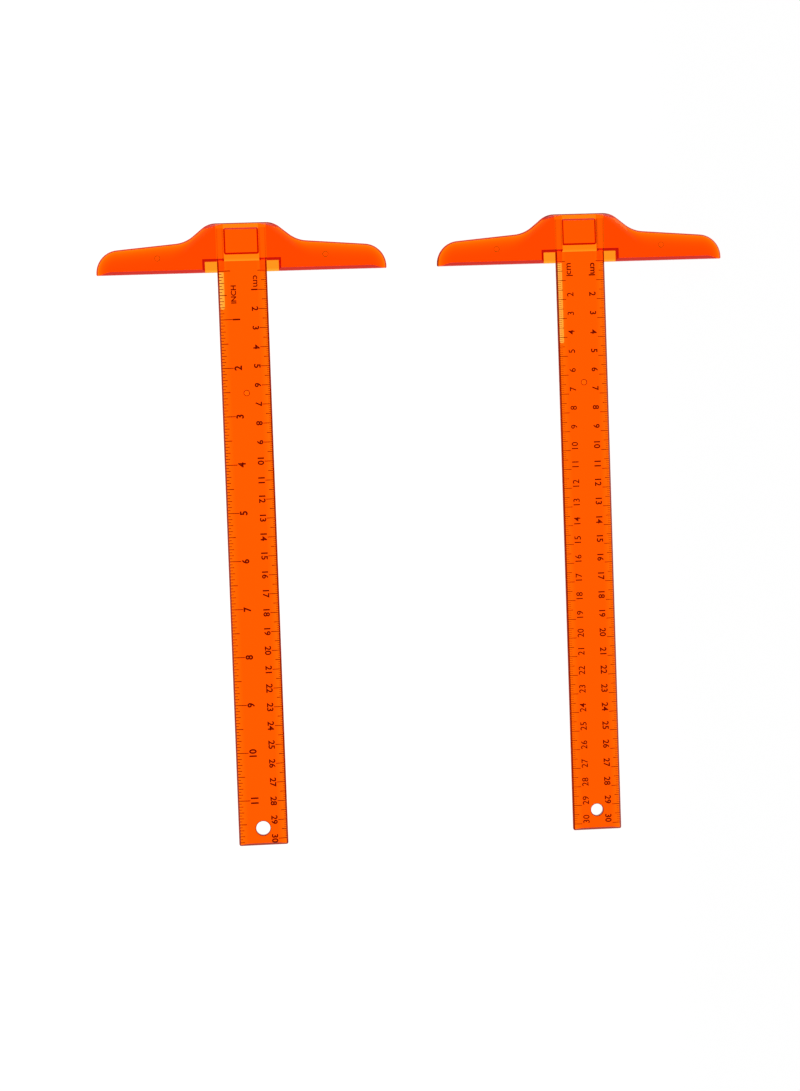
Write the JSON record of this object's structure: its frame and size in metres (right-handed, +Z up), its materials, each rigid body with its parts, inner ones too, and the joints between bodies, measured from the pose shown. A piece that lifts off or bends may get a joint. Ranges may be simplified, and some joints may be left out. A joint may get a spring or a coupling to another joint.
{
  "type": "pair of t-squares",
  "caption": "Translucent orange plastic T-squares for drafting, inch and metric; each has a winged head and a graduated bevelled blade that slides into it.",
  "frame": {"origin": "centre of the underside of the pair's bounding box, on the surface the squares lie on", "axes": "+X across from the inch square to the metric square, +Y along the blades from their free ends to the heads, +Z up out of the readable faces"},
  "size_m": [0.3308, 0.329, 0.0044],
  "materials": {
    "orange_plastic": "glossy, see-through fluorescent orange",
    "scale_ink": "thin dark printed ink"
  },
  "bodies": {
    "inch_head": {"inch_square_head": "orange_plastic"},
    "inch_blade": {"inch_square_blade": "orange_plastic"},
    "metric_head": {"metric_square_head": "orange_plastic"},
    "metric_blade": {"metric_square_blade": "orange_plastic"}
  },
  "joints": [
    {"name": "inch_blade_slide", "type": "slide", "parent": "inch_head", "child": "inch_blade", "axis": [0, -1, 0], "range_m": [0, 0.04]},
    {"name": "metric_square_lift", "type": "slide", "parent": "inch_head", "child": "metric_head", "axis": [0, 0, 1], "range_m": [0, 0.06]},
    {"name": "metric_blade_slide", "type": "slide", "parent": "metric_head", "child": "metric_blade", "axis": [0, -1, 0], "range_m": [0, 0.04]}
  ]
}
